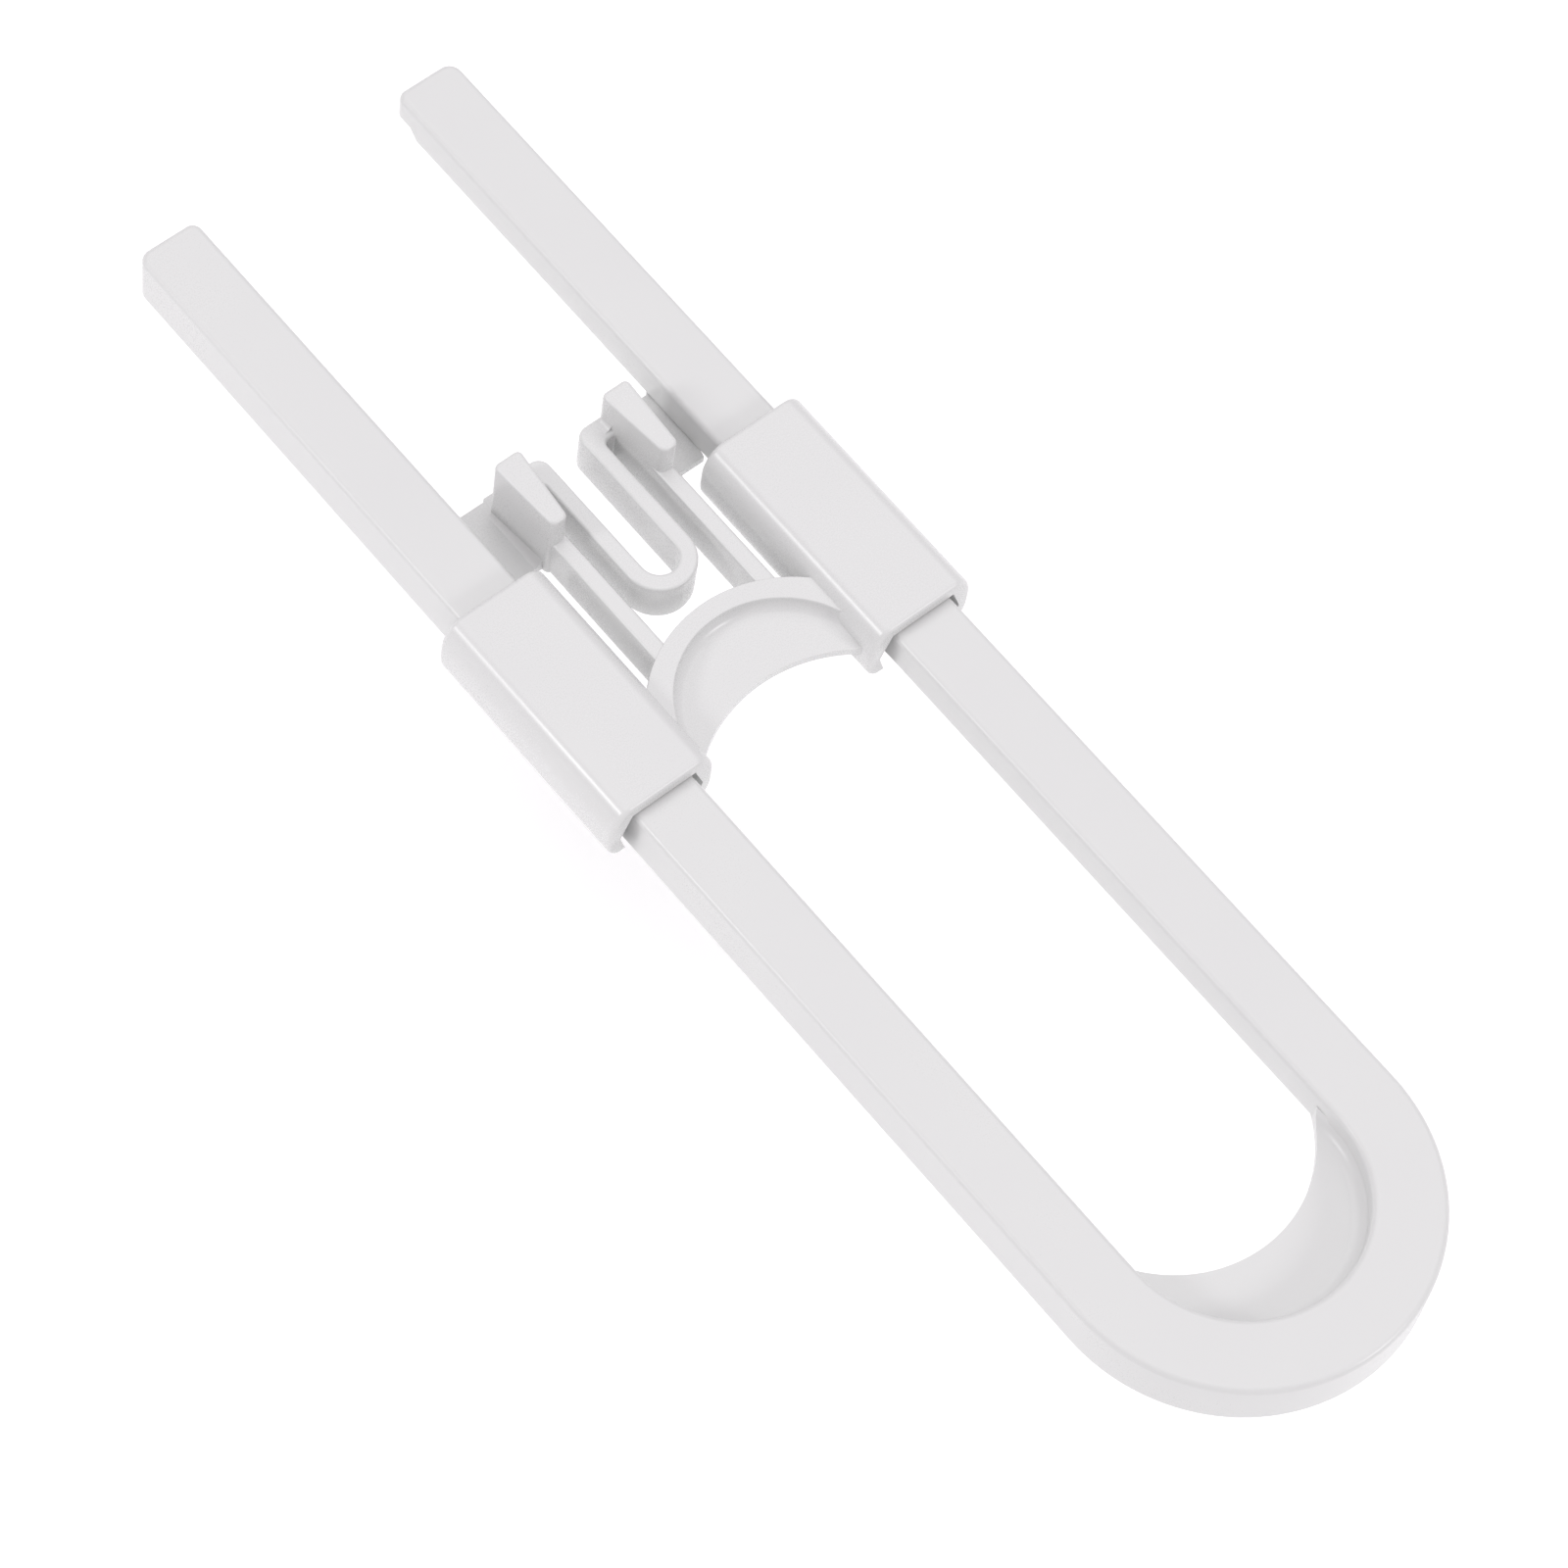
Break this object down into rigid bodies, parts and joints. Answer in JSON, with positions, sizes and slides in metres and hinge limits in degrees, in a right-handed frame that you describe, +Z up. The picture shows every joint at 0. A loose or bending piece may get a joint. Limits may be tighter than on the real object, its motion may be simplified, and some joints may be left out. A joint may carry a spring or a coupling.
{
  "type": "sliding cabinet lock",
  "caption": "U-shaped sliding child-safety lock: a toothed bow passed round two knobs or handles and a squeeze-tab slide that traps them.",
  "frame": {"origin": "on the floor plane, under the middle of the lock's overall length and width", "axes": "+X across the two legs, +Y along the legs from the bend to their open tips, +Z up, with the lock lying on the slide's straps"},
  "size_m": [0.0712, 0.256, 0.018],
  "materials": {
    "bow_plastic": "satin white injection-moulded ABS",
    "slide_plastic": "satin white injection-moulded ABS"
  },
  "bodies": {
    "bow": {"left_leg": "bow_plastic", "right_leg": "bow_plastic", "left_rack": "bow_plastic", "right_rack": "bow_plastic", "bow_bend": "bow_plastic", "thumb_web": "bow_plastic"},
    "slide": {"left_sleeve": "slide_plastic", "right_sleeve": "slide_plastic", "arch_rim": "slide_plastic", "arch_floor": "slide_plastic", "spring_bend": "slide_plastic"},
    "left_latch": {"left_squeeze_arm": "slide_plastic", "left_arm_turn": "slide_plastic", "left_spring_limb": "slide_plastic", "left_finger_tab": "slide_plastic", "left_pawl": "slide_plastic"},
    "right_latch": {"right_squeeze_arm": "slide_plastic", "right_arm_turn": "slide_plastic", "right_spring_limb": "slide_plastic", "right_finger_tab": "slide_plastic", "right_pawl": "slide_plastic"}
  },
  "joints": [
    {"name": "slide_along_legs", "type": "slide", "parent": "bow", "child": "slide", "axis": [0, 1, 0], "range_m": [-0.096, 0.126]},
    {"name": "left_squeeze", "type": "hinge", "parent": "slide", "child": "left_latch", "pos_m": [-0.0105, 0.02446, 0.0072], "axis": [0, 0, -1], "range_deg": [-2.5, 4.5], "stiffness_Nm_per_rad": 0.6, "springref_deg": -2.5},
    {"name": "right_squeeze", "type": "hinge", "parent": "slide", "child": "right_latch", "pos_m": [0.0105, 0.02446, 0.0072], "axis": [0, 0, 1], "range_deg": [-2.5, 4.5], "stiffness_Nm_per_rad": 0.6, "springref_deg": -2.5}
  ]
}
